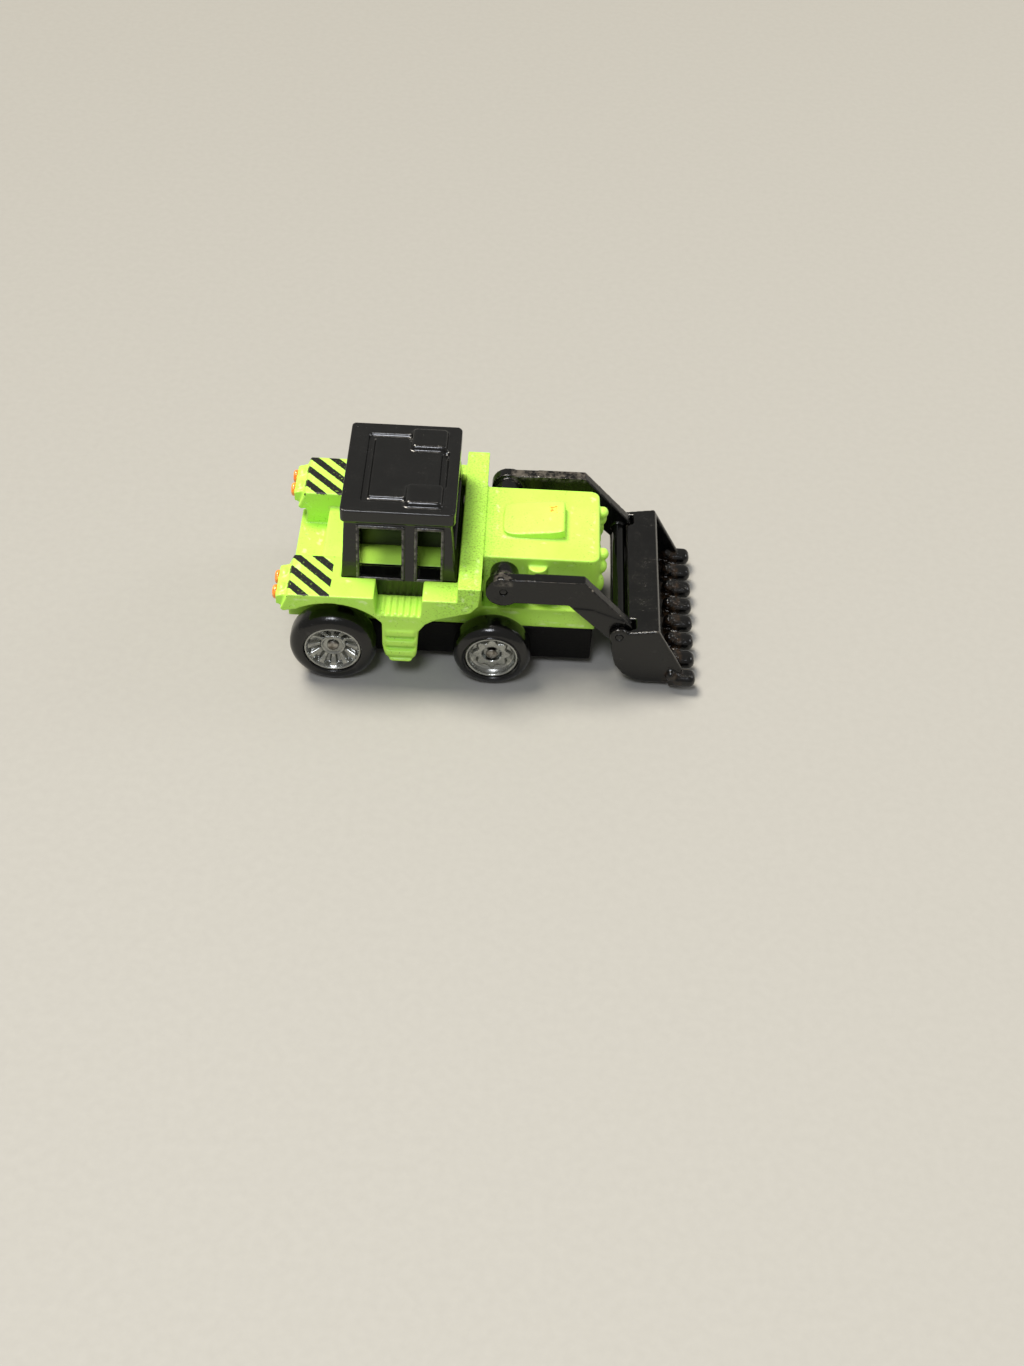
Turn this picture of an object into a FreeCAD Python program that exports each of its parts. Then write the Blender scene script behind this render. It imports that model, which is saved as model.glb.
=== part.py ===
import FreeCAD, Part
import Sketcher
import os
import re

# A pocket-size die-cast front loader. +X is forward, +Y is the driver's left, +Z is up, and the
# origin is on the ground under the middle of the whole loader. Every size is in millimetres.

doc = FreeCAD.newDocument("FrontLoader")
sheet = doc.addObject("Spreadsheet::Sheet", "dims")

sizes = {
    # running gear
    "rearAxleX": -26.2,
    "wheelBase": 27.0,
    "rearTyreRadius": 7.4,
    "frontTyreRadius": 6.65,
    "tyreWidth": 5.3,
    "tyreShoulder": 1.0,
    "rearWheelInner": 13.0,
    "frontWheelInner": 12.4,
    "rearHubRadius": 4.9,
    "frontHubRadius": 4.55,
    "hubDish": 1.5,
    "hubSetBack": 0.3,
    "dishDrop": 0.4,
    "hubRimWall": 0.7,
    "hubBoss": 1.7,
    "axleRadius": 0.6,
    "axleHead": 1.0,
    "headThick": 0.4,
    "runClear": 0.05,
    "sideClear": 0.1,
    # body casting, in plan
    "tailX": -33.2,
    "tailFloorX": -34.25,
    "tailHookX": -34.6,
    "lampX": -35.4,
    "lampTipX": -36.0,
    "lampRadius": 0.95,
    "lampHousing": 7.6,
    "lampMid": 13.3,
    "lampApart": 3.6,
    "deckStartX": -29.0,
    "cabRearX": -24.8,
    "cabFrontX": -5.5,
    "stepRearX": -17.7,
    "recessRearX": -19.0,
    "recessFrontX": -11.0,
    "cowlRearX": -5.2,
    "cowlFrontX": -1.3,
    "hoodFrontX": 18.2,
    "baseFrontX": 17.8,
    "noseX": 18.7,
    "hoodCorner": 1.6,
    "bodyHalf": 18.1,
    "hullHalf": 11.9,
    "hoodHalf": 9.2,
    "noseHalf": 7.4,
    "channelHalf": 8.0,
    "wall": 1.3,
    # body casting, heights
    "partingZ": 9.2,
    "channelZ": 13.1,
    "deckZ": 16.9,
    "socketZ": 16.0,
    "fenderZ": 19.8,
    "cowlZ": 22.8,
    "hoodZ": 22.4,
    "shelfZ": 13.35,
    "noseZ": 20.2,
    "stepZ": 5.5,
    "archRadius": 11.2,
    "archZ": 6.9,
    "engineZ": 19.2,
    "engineHalf": 8.8,
    "scoopHalf": 4.2,
    "scoopRise": 2.0,
    "scoopRear": 0.7,
    "ribCount": 6,
    "ribPitch": 1.08,
    "ribWide": 0.55,
    "ribRise": 0.45,
    "treadCount": 3,
    "treadPitch": 2.3,
    "treadTall": 1.2,
    "treadProud": 0.4,
    "treadSink": 0.45,
    "sideBoss": 1.65,
    "sideBossZ": 20.9,
    # base plate
    "baseZ": 2.2,
    "baseRearX": -32.0,
    "baseWall": 1.2,
    "postRadius": 2.2,
    "rivetRadius": 0.9,
    "rivetHead": 1.7,
    "rivetSink": 0.5,
    "rearRivetX": -18.0,
    "frontRivetX": 11.0,
    # cab
    "cabHalf": 13.0,
    "cabTopHalf": 11.1,
    "cabTopRearX": -24.3,
    "cabTopFrontX": -6.8,
    "cabSillZ": 19.4,
    "cabWall": 1.2,
    "roofZ": 30.5,
    "roofTopZ": 33.0,
    "roofHalf": 11.7,
    "roofRearX": -24.9,
    "roofFrontX": -6.0,
    "windowTopZ": 29.3,
    "roofCorner": 0.9,
    "grooveHalf": 8.9,
    "grooveWide": 1.2,
    "grooveDeep": 0.45,
    "padInner": 4.7,
    "padOuter": 10.0,
    "padRise": 0.8,
    "seatHalf": 4.2,
    "seatZ": 23.4,
    # loader arms and bucket
    "armPivotX": 2.3,
    "armPivotZ": 19.3,
    "armInner": 12.6,
    "armThick": 2.0,
    "armRearRadius": 3.0,
    "armEyeRadius": 2.4,
    "armDepth": 5.2,
    "armKneeX": 15.7,
    "bucketPivotX": 22.2,
    "bucketPivotZ": 11.5,
    "tubeRadius": 1.1,
    "bucketHalf": 15.95,
    "bucketWall": 0.95,
    "armGap": 0.25,
    "eyeGap": 0.35,
    "earRadius": 1.7,
    "bucketTopX": 28.7,
    "bucketTopZ": 13.3,
    "bucketFloorZ": 1.3,
    "bucketLipX": 34.0,
    "toothTipX": 36.0,
    "toothCount": 8,
    "toothPitch": 4.5,
    "toothHalf": 0.95,
}

for row, (alias, value) in enumerate(sizes.items(), start=1):
    sheet.set(f"A{row}", alias)
    sheet.set(f"B{row}", str(value))
    sheet.setAlias(f"B{row}", alias)
doc.recompute()


def bound(text):
    """The expression with every alias read from the sheet."""
    return re.sub(r"[A-Za-z]\w+", lambda word: ("dims." if word[0] in sizes else "") + word[0], text)


def place(item, x="0", y="0", z="0", turn=None):
    if turn:
        item.Placement.Rotation = FreeCAD.Rotation(FreeCAD.Vector(*turn[0]), turn[1])
    for axis, text in zip("xyz", (x, y, z)):
        item.setExpression(f"Placement.Base.{axis}", bound(text))
    return item


def box(name, x, y, z):
    """A block between two bound limits along each axis."""
    item = doc.addObject("Part::Box", name)
    for prop, (low, high) in zip(("Length", "Width", "Height"), (x, y, z)):
        item.setExpression(prop, bound(f"({high}) - ({low})"))
    return place(item, x[0], y[0], z[0])


def slab(name, x, half, z):
    """A block centred on the loader's middle plane."""
    return box(name, x, (f"-({half})", half), z)


def pair(name, x, inner, outer, z):
    """Two blocks between the same distances from the middle plane, one on each side."""
    return [
        box(name + "Right", x, (f"-({outer})", f"-({inner})"), z),
        box(name + "Left", x, (inner, outer), z),
    ]


def roundedSlab(name, x, half, z, radius, frontOnly=False):
    """A centred block with its upright edges rounded, all four or only those in front."""
    body = doc.addObject("PartDesign::Body", name)
    block = body.newObject("PartDesign::AdditiveBox", name + "Block")
    for prop, text in (
        ("Length", f"({x[1]}) - ({x[0]})"),
        ("Width", f"2 * ({half})"),
        ("Height", f"({z[1]}) - ({z[0]})"),
    ):
        block.setExpression(prop, bound(text))
    doc.recompute()
    uprights = []
    for number, edge in enumerate(block.Shape.Edges, start=1):
        upright = abs(edge.tangentAt(edge.FirstParameter).z) > 0.9
        inFront = edge.CenterOfMass.x > block.Length.Value / 2
        if upright and (inFront or not frontOnly):
            uprights.append(f"Edge{number}")
    fillet = body.newObject("PartDesign::Fillet", name + "Fillet")
    fillet.Base = (block, uprights)
    fillet.setExpression("Radius", bound(radius))
    body.Tip = fillet
    return place(body, x[0], f"-({half})", z[0])


def rod(name, radius, y, x, z):
    """A round bar lying along Y."""
    item = doc.addObject("Part::Cylinder", name)
    item.setExpression("Radius", bound(radius))
    item.setExpression("Height", bound(f"({y[1]}) - ({y[0]})"))
    return place(item, x, y[1], z, ((1, 0, 0), 90))


def post(name, radius, x, y, z):
    """A round bar standing along Z."""
    item = doc.addObject("Part::Cylinder", name)
    item.setExpression("Radius", bound(radius))
    item.setExpression("Height", bound(f"({z[1]}) - ({z[0]})"))
    return place(item, x, y, z[0])


def stub(name, radius, x, y, z):
    """A round bar lying along X."""
    item = doc.addObject("Part::Cylinder", name)
    item.setExpression("Radius", bound(radius))
    item.setExpression("Height", bound(f"({x[1]}) - ({x[0]})"))
    return place(item, x[0], y, z, ((0, 1, 0), 90))


def fuse(name, pieces):
    item = doc.addObject("Part::MultiFuse", name)
    item.Shapes = pieces
    item.Refine = True
    return item


def cut(name, base, tools):
    item = doc.addObject("Part::Cut", name)
    item.Base = base
    item.Tool = tools[0] if len(tools) == 1 else fuse(name + "Tools", tools)
    item.Refine = True
    return item


def mirrored(name, source):
    """The same shape on the other side of the middle plane."""
    item = doc.addObject("Part::Mirroring", name)
    item.Source = source
    item.Normal = FreeCAD.Vector(0, 1, 0)
    return item


def plane(body, role):
    return next(item for item in body.Origin.OriginFeatures if item.Role == role)


def outline(body, name, points):
    """A closed sketch of straight runs on the XZ plane, each corner bound to the sheet."""
    sketch = body.newObject("Sketcher::SketchObject", name)
    sketch.AttachmentSupport = [(plane(body, "XZ_Plane"), "")]
    sketch.MapMode = "FlatFace"
    count = len(points)
    turn = FreeCAD.Rotation(FreeCAD.Vector(0, 0, 1), 360 / count)
    starts = [FreeCAD.Vector(40, 0, 0)]
    for index in range(count - 1):
        starts.append(turn.multVec(starts[-1]))
    for index in range(count):
        sketch.addGeometry(Part.LineSegment(starts[index], starts[(index + 1) % count]))
    for index in range(count):
        sketch.addConstraint(Sketcher.Constraint("Coincident", index, 2, (index + 1) % count, 1))
    for index, (x, z) in enumerate(points):
        for kind, text, start in (("DistanceX", x, starts[index].x), ("DistanceY", z, starts[index].y)):
            number = sketch.addConstraint(Sketcher.Constraint(kind, index, 1, start))
            sketch.setExpression(f"Constraints[{number}]", bound(text))
    return sketch


def profile(name, points, length, offset="0"):
    """A pad of the outline, centred on the offset along Y."""
    body = doc.addObject("PartDesign::Body", name)
    sketch = outline(body, name + "Sketch", points)
    pad = body.newObject("PartDesign::Pad", name + "Pad")
    pad.Profile = sketch
    pad.SideType = "Symmetric"
    pad.setExpression("Length", bound(length))
    sketch.Visibility = False
    return place(body, y=offset)


frontAxleX = "rearAxleX + wheelBase"
axles = {"rear": ("rearAxleX", "rearTyreRadius"), "front": (frontAxleX, "frontTyreRadius")}
rivets = {"rear": "rearRivetX", "front": "frontRivetX"}


def arch(name, low, high):
    """The round opening over a rear wheel, stopped short by the step in front of it."""
    circle = rod(name + "Round", "archRadius", (low, high), "rearAxleX", "archZ")
    keep = box(name + "Keep", ("rearAxleX - 20", "stepRearX"), (low, high), ("-5", "cowlZ"))
    common = doc.addObject("Part::Common", name)
    common.Base = circle
    common.Tool = keep
    return common


def sideProfile():
    """The outline of both flanks: fender, tread recess, front block, cowl, skirt and step."""
    points = [
        ("tailX", "fenderZ"),
        ("tailHookX", "fenderZ - 3.3"),
        ("tailHookX + 0.4", "fenderZ - 3.8"),
        ("tailX + 1.2", "fenderZ - 3.3"),
        ("rearAxleX", "partingZ"),
        ("stepRearX", "partingZ"),
        ("stepRearX + 0.3", "stepZ + 2"),
        ("stepRearX + 0.7", "stepZ + 0.7"),
        ("stepRearX + 1.5", "stepZ"),
        ("stepRearX + 4.6", "stepZ"),
        ("stepRearX + 5.4", "stepZ + 0.7"),
        ("stepRearX + 5.8", "stepZ + 2"),
        ("stepRearX + 6.1", "partingZ + 3.4"),
        ("recessFrontX + 0.6", "socketZ - 1.6"),
        ("recessFrontX + 2.3", "socketZ - 0.5"),
        ("cowlRearX + 2.2", "socketZ + 1.4"),
        ("cowlFrontX - 0.4", "socketZ + 3"),
        ("cowlFrontX", "cowlZ"),
        ("cowlRearX", "cowlZ"),
        ("cowlRearX", "fenderZ"),
        ("recessFrontX", "fenderZ"),
        ("recessFrontX - 0.3", "socketZ"),
        ("recessRearX + 0.3", "socketZ"),
        ("recessRearX", "fenderZ"),
    ]
    return profile("sideProfile", points, "2 * bodyHalf")


def tailLamps():
    """The housing at the back of each fender, with two round lamps on it."""
    points = [
        ("tailX + 0.5", "fenderZ - 0.5"),
        ("lampX", "fenderZ - 1.3"),
        ("lampX", "fenderZ - 3.1"),
        ("tailX + 0.5", "fenderZ - 3.9"),
    ]
    pieces = []
    for side, sign in (("Right", "-"), ("Left", "")):
        pieces.append(profile("lampHousing" + side, points, "lampHousing", sign + "lampMid"))
        for number, way in enumerate(("-", "+")):
            across = f"{sign}(lampMid {way} lampApart / 2)"
            reach = ("lampTipX", "lampX + 0.4")
            pieces.append(stub(f"lamp{side}{number}", "lampRadius", reach, across, "fenderZ - 2.2"))
    return pieces


def hoodScoop():
    """The wedge on the hood, tallest in front."""
    points = [
        ("cowlFrontX + 3", "hoodZ - 0.2"),
        ("hoodFrontX - 5.8", "hoodZ - 0.2"),
        ("hoodFrontX - 6.1", "hoodZ + scoopRise"),
        ("cowlFrontX + 3", "hoodZ + scoopRear"),
    ]
    return profile("scoop", points, "2 * scoopHalf")


def bodyHollows():
    """What is cut out of the casting: arches, channel, cab socket, underside and bores."""
    over = "cowlZ + 1"
    under = "hullHalf - wall"
    return [
        arch("archRight", "-bodyHalf - 1", "-hullHalf"),
        arch("archLeft", "hullHalf", "bodyHalf + 1"),
        slab("channel", ("lampX - 1", "cabRearX"), "channelHalf", ("deckZ", over)),
        slab("channelLow", ("lampX - 1", "deckStartX"), "channelHalf", ("channelZ", over)),
        slab("cabSocket", ("cabRearX", "cabFrontX + sideClear"), "cabHalf + sideClear", ("socketZ", over)),
        slab("hollowMid", ("deckStartX + wall", "cowlFrontX"), under, ("-1", "socketZ - wall")),
        slab("hollowTail", ("tailX + wall", "deckStartX + wall"), under, ("-1", "channelZ - wall")),
        slab("hollowFront", ("cowlFrontX", "hoodFrontX - wall"), under, ("-1", "shelfZ - wall")),
        slab("hollowHood", ("cowlFrontX", "hoodFrontX - wall"), "hoodHalf - wall", ("0", "hoodZ - wall")),
        slab("baseRoom", ("baseRearX - 3", "baseFrontX + 2"), "hullHalf + sideClear", ("-1", "partingZ")),
        rod("pivotBore", "axleRadius", ("-hoodHalf - 1", "hoodHalf + 1"), "armPivotX", "armPivotZ"),
    ]


def castRibs():
    """The ribbed ledges beside the cab."""
    ribs = []
    for number in range(int(sizes["ribCount"])):
        start = f"recessRearX + 1.05 + {number} * ribPitch"
        across = ("cabHalf + 0.4", "bodyHalf - 0.1")
        tall = ("socketZ - 0.2", "socketZ + ribRise")
        ribs += pair(f"ledgeRib{number}", (start, start + " + ribWide"), *across, tall)
    return ribs


def stepTreads(name, inner, outer, first, tall):
    """A bar, or a groove, for each tread of the steps."""
    bars = []
    ends = ("stepRearX + 0.7", "stepRearX + 5.4")
    for number in range(int(sizes["treadCount"])):
        low = f"stepZ + {first} + {number} * treadPitch"
        bars += pair(f"{name}{number}", ends, inner, outer, (low, f"{low} + {tall}"))
    return bars


def bodyCasting():
    """The one-piece zinc body: fenders, steps, cowl, hood, shelf and tail, open underneath."""
    hoodEnds, hoodTall = ("cowlFrontX", "hoodFrontX"), ("partingZ", "hoodZ")
    blocks = [
        slab("hull", ("deckStartX", "cowlFrontX"), "hullHalf", ("partingZ", "deckZ")),
        slab("tailFloor", ("tailFloorX", "deckStartX"), "hullHalf", ("partingZ", "channelZ")),
        slab("tailWalls", ("tailX", "deckStartX"), "hullHalf", ("partingZ", "fenderZ - 1")),
        slab("shelf", ("cowlFrontX", "hoodFrontX"), "hullHalf", ("partingZ", "shelfZ")),
        roundedSlab("hood", hoodEnds, "hoodHalf", hoodTall, "hoodCorner", frontOnly=True),
        slab("nose", ("hoodFrontX - 1", "noseX"), "noseHalf", ("partingZ + 1", "noseZ")),
    ]
    bossTall = ("partingZ", "sideBossZ")
    for side, sign in (("Right", "-"), ("Left", "")):
        blocks.append(post("sideBoss" + side, "sideBoss", "armPivotX + 5.6", sign + "hoodHalf", bossTall))
    solid = fuse("bodySolid", [sideProfile(), *tailLamps(), hoodScoop(), *blocks])
    grooves = stepTreads("treadGroove", "bodyHalf - treadSink", "bodyHalf + 1", 0.5, "treadPitch - treadTall")
    shell = cut("bodyShell", solid, [*bodyHollows(), *grooves])

    added = castRibs() + stepTreads("tread", "bodyHalf - 1", "bodyHalf + treadProud", 1.6, "treadTall")
    engineEnds = ("cabRearX + 1.8", "cabFrontX - 1.6")
    added.append(slab("engine", engineEnds, "engineHalf", ("socketZ - 0.5", "engineZ")))
    for end, top in (("rear", "socketZ - wall + 0.2"), ("front", "hoodZ - wall + 0.2")):
        added.append(post(end + "RivetPost", "postRadius", rivets[end], "0", ("baseZ + baseWall", top)))
    for end, (x, height) in axles.items():
        across = ("hullHalf - baseWall", "hullHalf")
        tall = (height + " + axleRadius", "partingZ + 0.5")
        added += pair(end + "AxleTab", (x + " - axleRadius", x + " + axleRadius"), *across, tall)
    joined = fuse("bodyJoined", [shell, *added])
    bores = [post(end + "RivetBore", "rivetRadius", x, "0", ("0", "shelfZ - 2")) for end, x in rivets.items()]
    return cut("bodyCasting", joined, bores)


def basePlate():
    """The deep plastic tray under the casting: it carries both axles in slots in its side walls."""
    block = slab("baseBlock", ("baseRearX", "baseFrontX"), "hullHalf", ("baseZ", "partingZ"))
    inside = ("baseRearX + baseWall", "baseFrontX - baseWall")
    above = "partingZ + 1"
    tools = [slab("baseTray", inside, "hullHalf - baseWall", ("baseZ + baseWall", above))]
    for end, (x, height) in axles.items():
        wide = (x + " - axleRadius", x + " + axleRadius")
        tools.append(slab(end + "AxleSlot", wide, "hullHalf + 1", (height, above)))
        tools.append(rod(end + "AxleSeat", "axleRadius", ("-hullHalf - 1", "hullHalf + 1"), x, height))
    for end, x in rivets.items():
        tools.append(post(end + "BaseBore", "rivetRadius", x, "0", ("0", "partingZ")))
        tools.append(post(end + "BaseSink", "rivetHead", x, "0", ("0", "baseZ + rivetSink")))
    return cut("basePlate", block, tools)


def rivet(name, x):
    """A flat-headed rivet pressed up into a post of the casting."""
    shank = post(name + "Shank", "rivetRadius", x, "0", ("baseZ", "shelfZ - 2"))
    head = post(name + "Head", "rivetHead", x, "0", ("baseZ", "baseZ + rivetSink"))
    return fuse(name, [shank, head])


def axle(name, end):
    """A wire axle with a flat head at each end."""
    x, height = axles[end]
    reach = f"{end}WheelInner + tyreWidth - hubDish + sideClear"
    bar = rod(name + "Bar", "axleRadius", (f"-({reach})", reach), x, height)
    heads = [
        rod(name + "HeadRight", "axleHead", (f"-({reach} + headThick)", f"-({reach})"), x, height),
        rod(name + "HeadLeft", "axleHead", (reach, f"{reach} + headThick"), x, height),
    ]
    return fuse(name, [bar, *heads])


def turned(name, points, end, side):
    """A ring turned about a wheel's own axle, from a section in radius and distance outwards."""
    body = doc.addObject("PartDesign::Body", name)
    sketch = outline(body, name + "Sketch", points)
    ring = body.newObject("PartDesign::Revolution", name + "Turn")
    ring.Profile = sketch
    ring.ReferenceAxis = (sketch, ["V_Axis"])
    ring.Angle = 360
    body.Tip = ring
    sketch.Visibility = False
    x, height = axles[end]
    return place(body, x, f"{side}{end}WheelInner", height, ((1, 0, 0), 90 if side else -90))


def tyre(name, end, side):
    bore, radius = f"{end}HubRadius", f"{end}TyreRadius"
    points = [
        (bore, "0"),
        (f"{radius} - tyreShoulder", "0"),
        (f"{radius} - tyreShoulder * 0.3", "tyreShoulder * 0.3"),
        (radius, "tyreShoulder"),
        (radius, "tyreWidth - tyreShoulder"),
        (f"{radius} - tyreShoulder * 0.3", "tyreWidth - tyreShoulder * 0.3"),
        (f"{radius} - tyreShoulder", "tyreWidth"),
        (bore, "tyreWidth"),
    ]
    return turned(name, points, end, side)


def hub(name, end, side):
    bore, rim = "axleRadius + runClear", f"{end}HubRadius"
    points = [
        (bore, "0"),
        (rim, "0"),
        (rim, "tyreWidth - hubSetBack"),
        (f"{rim} - hubRimWall", "tyreWidth - hubSetBack"),
        (f"{rim} - hubRimWall - 0.5", "tyreWidth - hubDish - dishDrop"),
        ("hubBoss", "tyreWidth - hubDish - dishDrop"),
        ("hubBoss", "tyreWidth - hubDish"),
        (bore, "tyreWidth - hubDish"),
    ]
    return turned(name, points, end, side)


def cabWalls():
    """The drafted block that the pillars are left from."""
    walls = doc.addObject("Part::Wedge", "cabWalls")
    limits = {
        "Xmin": "cabRearX",
        "Xmax": "cabFrontX",
        "Zmin": "-cabHalf",
        "Zmax": "cabHalf",
        "Ymin": "0",
        "Ymax": "roofZ - cabSillZ + 0.5",
        "X2min": "cabTopRearX",
        "X2max": "cabTopFrontX",
        "Z2min": "-cabTopHalf",
        "Z2max": "cabTopHalf",
    }
    for prop, text in limits.items():
        walls.setExpression(prop, bound(text))
    return place(walls, z="cabSillZ", turn=((1, 0, 0), 90))


def cabMoulding():
    """The cab: sill, drafted walls with window openings on every side, a seat block and the roof."""
    sill = slab("cabSill", ("cabRearX", "cabFrontX"), "cabHalf", ("socketZ", "cabSillZ"))
    inside = ("cabTopRearX + cabWall", "cabTopFrontX - cabWall")
    sideWindow = ("cabSillZ + 0.5", "windowTopZ")
    endWindow = ("cowlZ + 0.3", "windowTopZ")
    openings = [
        slab("cabInside", inside, "cabTopHalf - cabWall", ("cabSillZ", "roofZ")),
        slab("cabWell", ("cabRearX + 1.7", "cabFrontX - 1.5"), "engineHalf + 0.1", ("0", "cabSillZ + 0.1")),
        slab("rearSideWindow", ("cabRearX + 3", "cabRearX + 10.1"), "cabHalf + 2", sideWindow),
        slab("frontSideWindow", ("cabFrontX - 6.7", "cabFrontX - 2.7"), "cabHalf + 2", sideWindow),
        slab("windscreen", ("cabRearX - 1", "cabFrontX + 1"), "cabTopHalf - 2", endWindow),
    ]
    frame = cut("cabFrame", fuse("cabSolid", [cabWalls(), sill]), openings)
    seatEnds = ("cabTopRearX + 0.5", "cabTopFrontX - 0.5")
    seat = slab("cabSeat", seatEnds, "seatHalf", ("engineZ + 0.1", "seatZ"))

    roofEnds, roofTall = ("roofRearX", "roofFrontX"), ("roofZ", "roofTopZ")
    roof = roundedSlab("roofSlab", roofEnds, "roofHalf", roofTall, "roofCorner")
    low, high = "roofRearX + 3.2", "roofFrontX - 1.9"
    block = slab("grooveOuter", (low, high), "grooveHalf", ("roofTopZ - grooveDeep", "roofTopZ + 1"))
    landEnds = (low + " + grooveWide", high + " - grooveWide")
    land = slab("grooveInner", landEnds, "grooveHalf - grooveWide", ("0", "roofTopZ + 2"))
    grooved = cut("roofGrooved", roof, [cut("groove", block, [land])])
    padEnds = ("roofFrontX - 8.4", "roofFrontX - 2.3")
    pads = pair("roofPad", padEnds, "padInner", "padOuter", ("roofTopZ - 0.6", "roofTopZ + padRise"))
    return fuse("cabMoulding", [frame, seat, grooved, *pads])


def loaderArm():
    """The left arm: a cranked flat beam with a round eye at each end and a boss beside the hood."""
    points = [
        ("armPivotX - 0.4", "armPivotZ + 2.8"),
        ("armPivotX - 0.4", "armPivotZ - 2.3"),
        ("armKneeX - 2.3", "armPivotZ + 2.9 - armDepth"),
        ("bucketPivotX - 1.75", "bucketPivotZ - 1.7"),
        ("bucketPivotX + 1.8", "bucketPivotZ + 1.6"),
        ("armKneeX", "armPivotZ + 2.9"),
    ]
    beam = profile("armBeam", points, "armThick", "armInner + armThick / 2")
    outer = "armInner + armThick"
    eyes = [
        rod("armRearEye", "armRearRadius", ("armInner", outer), "armPivotX", "armPivotZ"),
        rod("armRearBoss", "armEyeRadius", ("hoodHalf + sideClear", outer), "armPivotX", "armPivotZ"),
        rod("armFrontEye", "armEyeRadius", ("armInner", outer), "bucketPivotX", "bucketPivotZ"),
    ]
    bores = [
        rod("armRearBore", "axleRadius + runClear", ("0", "20"), "armPivotX", "armPivotZ"),
        rod("armFrontBore", "axleRadius", ("0", "20"), "bucketPivotX", "bucketPivotZ"),
    ]
    return cut("armLeft", fuse("armSolid", [beam, *eyes]), bores)


def crossTube():
    bar = rod("tubeBar", "tubeRadius", ("-armInner", "armInner"), "bucketPivotX", "bucketPivotZ")
    bore = rod("tubeBore", "axleRadius", ("-20", "20"), "bucketPivotX", "bucketPivotZ")
    return cut("crossTube", bar, [bore])


def bucketSolid():
    """The outer form of the bucket with the round ears that take its pin."""
    points = [
        ("bucketTopX", "bucketTopZ"),
        ("bucketPivotX + 1.4", "bucketTopZ - 0.8"),
        ("bucketPivotX + 1.4", "bucketPivotZ - 1.2"),
        ("bucketPivotX - 1.3", "bucketPivotZ - 2.6"),
        ("bucketPivotX - 1.1", "bucketFloorZ + 6.8"),
        ("bucketPivotX - 0.3", "bucketFloorZ + 3.6"),
        ("bucketPivotX + 1.2", "bucketFloorZ + 1.6"),
        ("bucketPivotX + 3", "bucketFloorZ + 0.4"),
        ("bucketPivotX + 5", "bucketFloorZ"),
        ("bucketLipX + 1", "bucketFloorZ"),
        ("bucketLipX + 1", "bucketFloorZ + 0.6"),
    ]
    scoop = profile("bucketScoop", points, "2 * bucketHalf")
    ears = rod("bucketEars", "earRadius", ("-bucketHalf", "bucketHalf"), "bucketPivotX", "bucketPivotZ")
    rootEnds = ("bucketPivotX - 1.2", "bucketPivotX + 2")
    root = slab("bucketEarRoot", rootEnds, "bucketHalf", ("bucketPivotZ - 2.8", "bucketPivotZ - 0.4"))
    return fuse("bucketSolid", [scoop, ears, root])


def bucketRoom():
    """What is cut out of the bucket: its bowl, and the room for the arms, the tube and the pin."""
    points = [
        ("bucketLipX + 4", "bucketTopZ - bucketWall"),
        ("bucketPivotX + 3.6", "bucketTopZ - bucketWall"),
        ("bucketPivotX + 3.6", "bucketPivotZ - 3.6"),
        ("bucketPivotX + 0.4", "bucketPivotZ - 3.8"),
        ("bucketPivotX + 0.6", "bucketFloorZ + 4.2"),
        ("bucketPivotX + 3.4", "bucketFloorZ + 1.5"),
        ("bucketPivotX + 5.4", "bucketFloorZ + bucketWall"),
        ("bucketLipX + 4", "bucketFloorZ + bucketWall"),
    ]
    inner, outer = "armInner - armGap", "armInner + armThick + armGap"
    x, height, eye = "bucketPivotX", "bucketPivotZ", "armEyeRadius + eyeGap"
    backEnds = (x + " - 4", x + " + 1.4")
    overLip = ("bucketFloorZ + 1.4", "bucketTopZ + 2")
    tools = [
        profile("bucketHollow", points, "2 * (bucketHalf - bucketWall)"),
        slab("earGap", backEnds, outer, (height + " - 1.9", height + " + 4")),
        slab("lipCut", ("bucketLipX", "bucketLipX + 5"), "bucketHalf + 1", overLip),
        rod("tubeGroove", "tubeRadius + 0.3", (f"-({outer})", outer), x, height),
        rod("bucketPinHole", "axleRadius + runClear", ("-20", "20"), x, height),
        rod("armPocketRight", eye, (f"-({outer})", f"-({inner})"), x, height),
        rod("armPocketLeft", eye, (inner, outer), x, height),
    ]
    return tools + pair("armPocketTop", (x + " - 4", f"{x} + {eye}"), inner, outer, (height, height + " + 8"))


def bucket():
    """The bucket: a hollow scoop that clasps the arms, with a row of two-stage teeth on its lip."""
    pieces = [cut("bucketShell", bucketSolid(), bucketRoom())]
    for number in range(int(sizes["toothCount"])):
        centre = f"({number} - (toothCount - 1) / 2) * toothPitch"
        wide = (f"{centre} - toothHalf", f"{centre} + toothHalf")
        tall = ("bucketFloorZ", "bucketFloorZ + 1.9")
        heelTall = ("bucketFloorZ + 1", "bucketFloorZ + 2.6")
        pieces.append(box(f"tooth{number}", ("bucketLipX - 2.6", "toothTipX"), wide, tall))
        pieces.append(box(f"toothHeel{number}", ("bucketLipX - 2.8", "bucketLipX - 1"), wide, heelTall))
    return fuse("bucketPiece", pieces)


def pin(name, x, z, reach):
    return rod(name, "axleRadius", (f"-({reach})", reach), x, z)


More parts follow.
